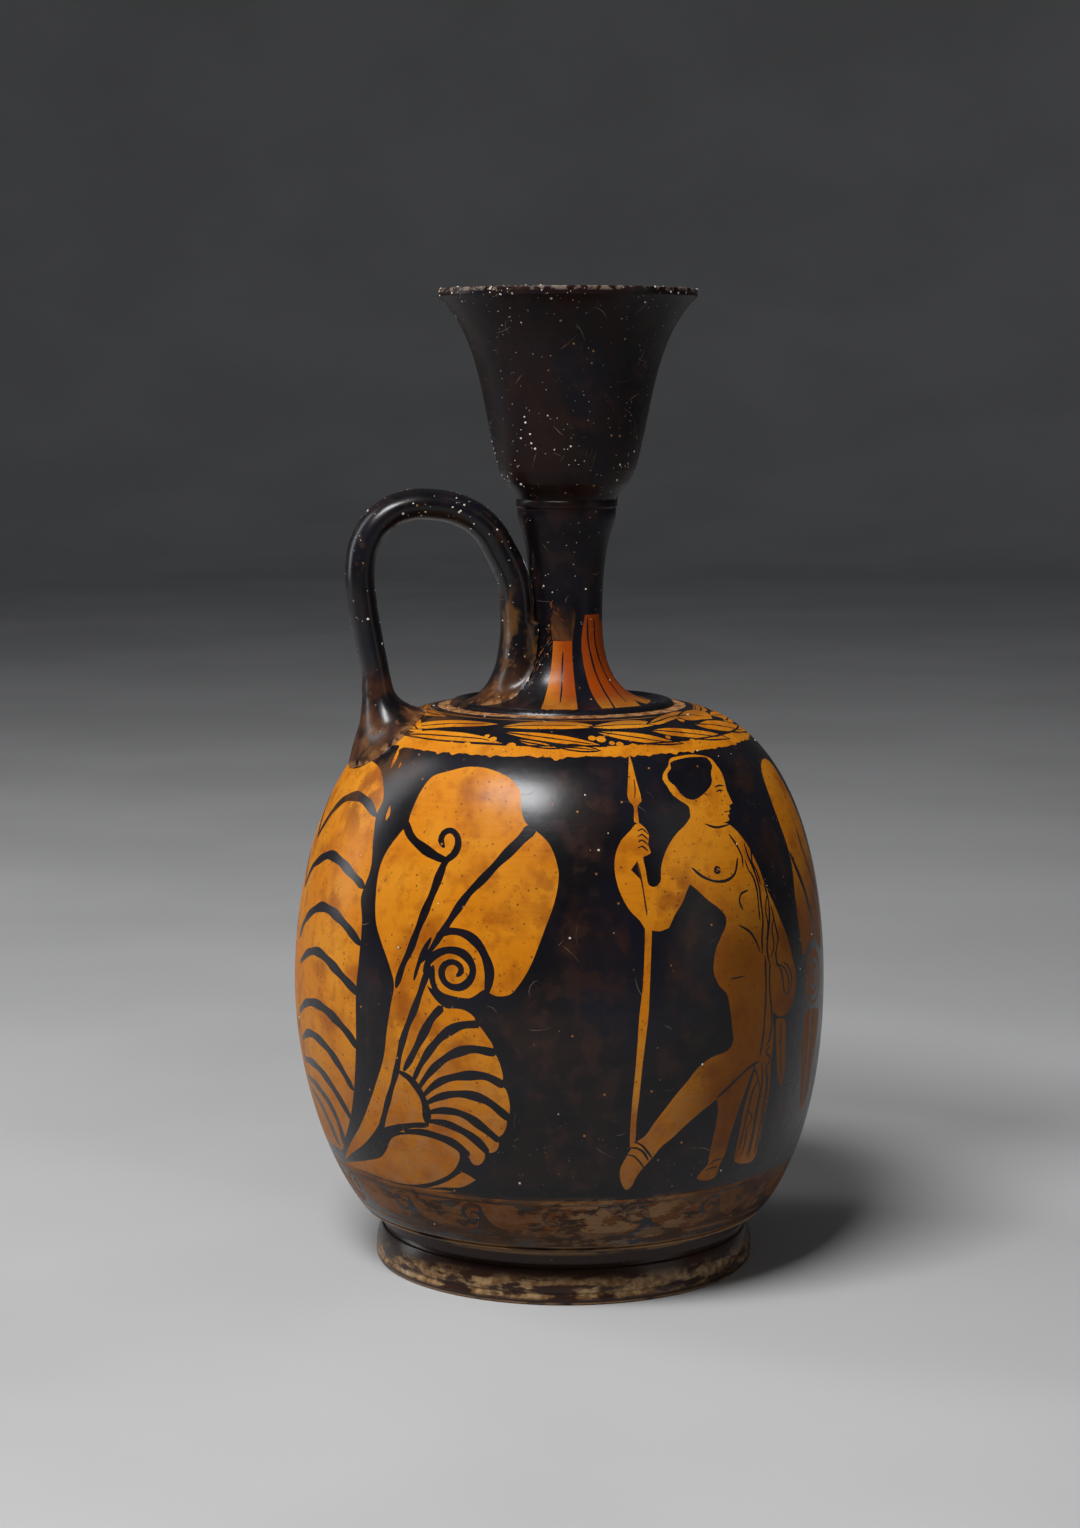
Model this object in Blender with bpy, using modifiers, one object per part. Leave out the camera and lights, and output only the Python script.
"""Squat lekythos: a thrown clay oil jug with a broad foot, a funnel mouth and a loop handle.

One fired solid, hollow, with true walls. Named sizes are in millimetres, the model is in
metres with +Z up. The origin is on the resting plane under the axis of the belly, and the
handle stands at -X. Radii are measured from the jug's axis, heights are stacked from the foot.
"""
import bpy
import bmesh
from math import cos, pi, radians, sin
from mathutils import Vector
from mathutils.geometry import interpolate_bezier

for old in list(bpy.data.objects):
    bpy.data.objects.remove(old, do_unlink=True)

MM = 0.001
TURN_STEPS = 44           # facets round the jug
HANDLE_FACETS = 3         # bevel resolution of the handle, 4 + 2 x this many sides

# Foot: a low disc with a rounded face, standing on a ring
FOOT_R = 39.3             # radius of the face above its bead
FOOT_SET_IN = 1.1         # how far the face draws in to its top edge
FOOT_H = 7.1              # height of the whole disc
BEAD_H = 2.3              # height of the bead at the foot's lower edge
REST_W = 8.7              # width of the flat resting ring
HOLLOW_H = 3.0            # depth of the hollow underneath

# Recessed band between the foot and the body
BAND_SET_IN = 0.7         # how far it lies behind the foot's top edge
BAND_H = 4.5

# Body: from a fine ridge out to the belly and over the shoulder
RIDGE_R = 42.0
RIDGE_H = 1.3
BELLY_R = 54.9
BELLY_RISE = 45.1         # from the ridge's upper edge to the widest place
SHOULDER_RISE = 57.6      # from there to the shoulder's inner end
SHOULDER_R = 23.8         # radius at the shoulder's inner end
SHOULDER_SLOPE = 3.2      # degrees, where the shoulder meets the neck's ring
SHOULDER_REACH = 23.0     # how far that slope is felt

# Raised ring round the root of the neck
RING_W = 3.8
RING_H = 1.3

# Neck, with a trumpet-shaped root
NECK_R = 7.4              # at its slimmest
NECK_ROOT_H = 17.9        # from the ring to the slimmest place
NECK_H = 22.2             # from there to the collar
NECK_TOP_R = 10.1
COLLAR_H = 1.5
COLLAR_R = 10.35

# Mouth: a small swelling, then a deep funnel with a flat lip
BULB_R = 13.9
BULB_H = 5.8
MOUTH_R = 26.3
MOUTH_H = 35.0
LIP_H = 1.5
LIP_FLARE = 8.8           # how far in, and below, the lip's outward sweep begins
LIP_SWEEP = 7.9

# Walls
BODY_WALL = 3.5
FLOOR = 5.0
FLOOR_SET_IN = 13.0       # the level floor inside ends this far within the foot's face
FLOOR_SWEEP = 14.0        # how softly the floor turns up into the wall
BORE_R = 4.5
MOUTH_WALL = 2.3
LIP_W = 1.6

# Handle: an oval roll of clay, pulled up from the shoulder and laid against the neck
HANDLE_T = 6.1            # thickness seen from the side
HANDLE_WIDER = 1.5        # its width across, as a share of the thickness
HANDLE_ROOT_R = 36.9      # where it leaves the shoulder
HANDLE_REACH = 42.5       # how far its middle line swings out
HANDLE_LAP = 2.8          # from the slim neck's surface to the middle line of the laid end
HANDLE_SINK = 4.5         # how deep the root goes into the shoulder
HANDLE_DROP = 0.9         # top of the middle line below the swelling's base

# Lean of the thrown axis towards +X at the foot, neck and lip; the belly is true
LEAN_FOOT = 1.0
LEAN_SHOULDER = 0.5
LEAN_NECK = 1.4
LEAN_LIP = 1.7

# Levels, all from the sizes above
z_band = FOOT_H + BAND_H
z_ridge = z_band + RIDGE_H
z_belly = z_ridge + BELLY_RISE
z_shoulder = z_belly + SHOULDER_RISE
z_ring = z_shoulder + RING_H * 0.4
z_slim = z_ring + NECK_ROOT_H
z_collar = z_slim + NECK_H
z_bulb = z_collar + COLLAR_H
z_mouth = z_bulb + BULB_H
z_lip = z_mouth + MOUTH_H
z_top = z_lip + LIP_H
z_hollow = HOLLOW_H
z_floor = z_hollow + FLOOR


def bezier(p0, p1, p2, p3, steps):
    """Points (radius, height) along one cubic, both ends included."""
    ends = [Vector((p[0], p[1], 0)) for p in (p0, p1, p2, p3)]
    return [(p.x, p.y) for p in interpolate_bezier(*ends, steps + 1)]


def outer_profile():
    """The outside, from the middle of the mouth down to the middle of the underside."""
    points = [(0, z_top), (MOUTH_R - 0.3, z_top), (MOUTH_R, z_top - 0.3)]
    points += bezier((MOUTH_R, z_lip), (MOUTH_R - LIP_FLARE, z_lip - LIP_SWEEP),
                     (BULB_R + 3.5, z_mouth + 0.345 * MOUTH_H), (BULB_R, z_mouth), 8)
    points += [((BULB_R + COLLAR_R) / 2 + 0.5, z_bulb + 0.55 * BULB_H),
               (COLLAR_R + 0.5, z_bulb + 0.2 * BULB_H), (COLLAR_R - 0.25, z_bulb),
               (COLLAR_R, z_bulb - 0.3), (COLLAR_R, z_collar)]
    points += bezier((NECK_TOP_R, z_collar - 0.2), (NECK_TOP_R + 0.3, z_collar - 0.2 * NECK_H),
                     (NECK_R, z_slim + 0.8 * NECK_H), (NECK_R, z_slim), 4)
    inner = SHOULDER_R - RING_W
    points += bezier((NECK_R, z_slim), (NECK_R, z_slim - 0.6 * NECK_ROOT_H),
                     (NECK_R + 0.35 * (inner - NECK_R), z_ring + 0.3), (inner, z_ring), 7)[1:]
    points += [(inner + 0.35 * RING_W, z_shoulder + RING_H),
               (inner + 0.7 * RING_W, z_shoulder + 0.6 * RING_H),
               (SHOULDER_R - 0.4, z_shoulder - 0.35)]
    slope = radians(SHOULDER_SLOPE)
    points += bezier((SHOULDER_R, z_shoulder),
                     (SHOULDER_R + SHOULDER_REACH * cos(slope),
                      z_shoulder - SHOULDER_REACH * sin(slope)),
                     (BELLY_R, z_belly + 0.4535 * SHOULDER_RISE), (BELLY_R, z_belly), 12)
    points += bezier((BELLY_R, z_belly), (BELLY_R, z_belly - 0.308 * BELLY_RISE),
                     (RIDGE_R + 0.768 * (BELLY_R - RIDGE_R), z_ridge + 0.278 * BELLY_RISE),
                     (RIDGE_R + 1.0, z_ridge), 9)[1:]
    points += [(RIDGE_R - 0.1, z_ridge - 0.2 * RIDGE_H), (RIDGE_R + 0.3, z_ridge - 0.5 * RIDGE_H),
               (RIDGE_R - 0.3, z_band)]
    edge = FOOT_R - FOOT_SET_IN
    points += [(edge - BAND_SET_IN, z_band - 0.6), (edge - BAND_SET_IN, FOOT_H + 0.7),
               (edge - 0.3, FOOT_H)]
    points += bezier((edge, FOOT_H - 0.2), (edge + 0.8, FOOT_H - 1.9),
                     (FOOT_R, BEAD_H + 1.6), (FOOT_R, BEAD_H + 0.3), 3)
    points += [(FOOT_R - 0.35, BEAD_H), (FOOT_R + 0.1, 0.6 * BEAD_H), (FOOT_R - 0.1, 0.5),
               (FOOT_R - 0.6, 0)]
    rest = FOOT_R - 0.6 - REST_W
    points += [(rest, 0), (rest - 1.2, z_hollow * 0.75), (rest - 3.5, z_hollow), (0, z_hollow)]
    return points


def inner_profile():
    """The empty inside, from above the mouth down to the middle of the floor."""
    points = [(0, z_top + 4), (MOUTH_R - LIP_W, z_top + 4), (MOUTH_R - LIP_W, z_top - 0.3)]
    points += bezier((MOUTH_R - LIP_W - 0.8, z_lip - 0.2), (MOUTH_R - LIP_FLARE + 0.3 - MOUTH_WALL, z_lip - LIP_SWEEP),
                     (BULB_R + 3.5 - MOUTH_WALL, z_mouth + 0.345 * MOUTH_H),
                     (BULB_R - MOUTH_WALL, z_mouth + 1.5), 4)
    points += bezier((BULB_R - MOUTH_WALL, z_mouth + 1.5), (BULB_R - MOUTH_WALL - 1, z_bulb + 2),
                     (BORE_R, z_bulb + 1.5), (BORE_R, z_collar - 5), 3)[1:]
    roof = z_shoulder - BODY_WALL
    points += bezier((BORE_R, z_slim - 2), (BORE_R, z_slim - 0.75 * NECK_ROOT_H),
                     (BORE_R + 5, roof + 0.6), (SHOULDER_R - BODY_WALL, roof), 4)
    slope = radians(SHOULDER_SLOPE)
    wide = BELLY_R - BODY_WALL
    points += bezier((SHOULDER_R - BODY_WALL, roof),
                     (SHOULDER_R - BODY_WALL + SHOULDER_REACH * cos(slope),
                      roof - SHOULDER_REACH * sin(slope)),
                     (wide, z_belly + 0.45 * SHOULDER_RISE), (wide, z_belly), 6)[1:]
    floor_r = FOOT_R - FLOOR_SET_IN
    points += bezier((wide, z_belly), (wide, z_belly - 0.5 * BELLY_RISE),
                     (floor_r + FLOOR_SWEEP, z_floor + 0.5), (floor_r, z_floor), 6)[1:]
    points += [(0, z_floor - 0.3)]
    return points


def lean(z):
    """How far the axis leans towards +X at a height."""
    stops = ((0, LEAN_FOOT), (z_band, LEAN_FOOT), (z_belly, 0), (z_shoulder, LEAN_SHOULDER),
             (z_slim, LEAN_NECK), (z_top, LEAN_LIP))
    for (z0, a), (z1, b) in zip(stops, stops[1:]):
        if z < z1:
            t = max(0.0, (z - z0) / (z1 - z0))
            return a + (b - a) * t * t * (3 - 2 * t)
    return LEAN_LIP


def shoulder_height(radius):
    """Height of the outside at a radius between the shoulder's inner end and the belly."""
    run = [p for p in outer_profile() if z_belly <= p[1] <= z_shoulder and p[0] >= SHOULDER_R]
    for (r0, z0), (r1, z1) in zip(run, run[1:]):
        if r0 <= radius <= r1:
            return z0 + (z1 - z0) * (radius - r0) / (r1 - r0)
    return z_belly


jug = bpy.data.collections.new("lekythos")
cutters = bpy.data.collections.new("lekythos_cutters")
for collection in (jug, cutters):
    bpy.context.scene.collection.children.link(collection)


def turned(name, profile, collection):
    """An object whose Screw modifier turns a profile round Z."""
    mesh = bpy.data.meshes.new(name)
    mesh.from_pydata([(r * MM, 0, z * MM) for r, z in profile],
                     [(i, i + 1) for i in range(len(profile) - 1)], [])
    obj = bpy.data.objects.new(name, mesh)
    collection.objects.link(obj)
    screw = obj.modifiers.new("Turn", 'SCREW')
    screw.axis = 'Z'
    screw.steps = screw.render_steps = TURN_STEPS
    screw.use_merge_vertices = True
    screw.merge_threshold = 0.00001
    screw.use_smooth_shade = True
    return obj


def handle_knots():
    """Middle line of the handle as (radius, height, thickness share), root to laid end."""
    root = shoulder_height(HANDLE_ROOT_R)
    top = z_bulb - HANDLE_DROP
    lap = NECK_R + HANDLE_LAP
    out = HANDLE_REACH - HANDLE_ROOT_R
    span = HANDLE_REACH - lap
    # each row: where it is measured from, share of the reach, share of the rise, thickness
    rising = ((-0.11, -0.016, 1.93), (0.05, 0.055, 1.44), (0.23, 0.165, 1.06), (0.36, 0.26, 0.9),
              (0.66, 0.40, 0.92), (0.91, 0.56, 0.95), (1.0, 0.73, 0.98))
    over = ((0.047, 0.86, 1.0), (0.155, 0.95, 1.01), (0.29, 0.994, 1.02), (0.44, 1.0, 1.03),
            (0.64, 0.97, 1.04), (0.79, 0.90, 1.06), (0.90, 0.78, 1.08))
    laid = ((0.8, 0.66, 1.1), (0.0, 0.52, 1.13), (0.0, 0.36, 1.13), (0.9, 0.23, 1.13),
            (3.3, 0.13, 1.1), (7.0, 0.065, 1.0))
    knots = [(HANDLE_ROOT_R - 0.53 * HANDLE_SINK, root - HANDLE_SINK, 2.27)]
    knots += [(HANDLE_ROOT_R + out * a, root + (top - root) * b, t) for a, b, t in rising]
    knots += [(HANDLE_REACH - span * a, root + (top - root) * b, t) for a, b, t in over]
    knots += [(lap + a, root + (top - root) * b, t) for a, b, t in laid]
    return knots


def handle_mesh():
    """The handle as a closed mesh, made from a bevelled curve."""
    curve = bpy.data.curves.new("handle_path", 'CURVE')
    curve.dimensions = '3D'
    curve.bevel_depth = HANDLE_T / 2 * MM
    curve.bevel_resolution = HANDLE_FACETS + 2
    curve.resolution_u = 2
    curve.use_fill_caps = True
    curve.twist_mode = 'MINIMUM'
    knots = handle_knots()
    spline = curve.splines.new('BEZIER')
    spline.bezier_points.add(len(knots) - 1)
    for point, (radius, height, share) in zip(spline.bezier_points, knots):
        point.co = (-radius * MM, 0, height * MM)
        point.radius = share
        point.handle_left_type = point.handle_right_type = 'AUTO'
    path = bpy.data.objects.new("handle_path", curve)
    cutters.objects.link(path)
    bpy.context.view_layer.update()
    mesh = bpy.data.meshes.new_from_object(path.evaluated_get(
        bpy.context.evaluated_depsgraph_get()))
    bpy.data.objects.remove(path, do_unlink=True)
    work = bmesh.new()
    work.from_mesh(mesh)
    bmesh.ops.remove_doubles(work, verts=work.verts, dist=0.000001)
    for vert in work.verts:
        vert.co.y *= HANDLE_WIDER
    bmesh.ops.recalc_face_normals(work, faces=work.faces)
    work.to_mesh(mesh)
    work.free()
    return mesh


def as_helper(obj):
    obj.hide_render = True
    obj.display_type = 'WIRE'
    return obj


def joined(target, other, operation):
    mod = target.modifiers.new(operation.title(), 'BOOLEAN')
    mod.operation = operation
    mod.solver = 'EXACT'
    mod.object = other


body = as_helper(turned("body_turned", outer_profile(), cutters))
inside = as_helper(turned("inside", inner_profile(), cutters))
handle = bpy.data.objects.new("handle", handle_mesh())
cutters.objects.link(as_helper(handle))
joined(body, handle, 'UNION')
joined(body, inside, 'DIFFERENCE')
bpy.context.view_layer.update()

final = bpy.data.meshes.new_from_object(body.evaluated_get(
    bpy.context.evaluated_depsgraph_get()))
final.name = "lekythos"
for vert in final.vertices:
    vert.co.x += lean(vert.co.z / MM) * MM

slip = bpy.data.materials.new("black_slip")
slip.use_nodes = True
shader = slip.node_tree.nodes["Principled BSDF"]
shader.inputs["Base Color"].default_value = (0.035, 0.027, 0.025, 1)
shader.inputs["Roughness"].default_value = 0.3
shader.inputs["Metallic"].default_value = 0.0
slip.diffuse_color = (0.16, 0.09, 0.05, 1)

final.materials.clear()
final.materials.append(slip)
for polygon in final.polygons:
    polygon.material_index = 0
final.shade_smooth()
final.set_sharp_from_angle(angle=radians(35))
lekythos = bpy.data.objects.new("lekythos", final)
jug.objects.link(lekythos)
print("lekythos:", len(final.polygons), "faces, height", round(z_top, 2), "mm")
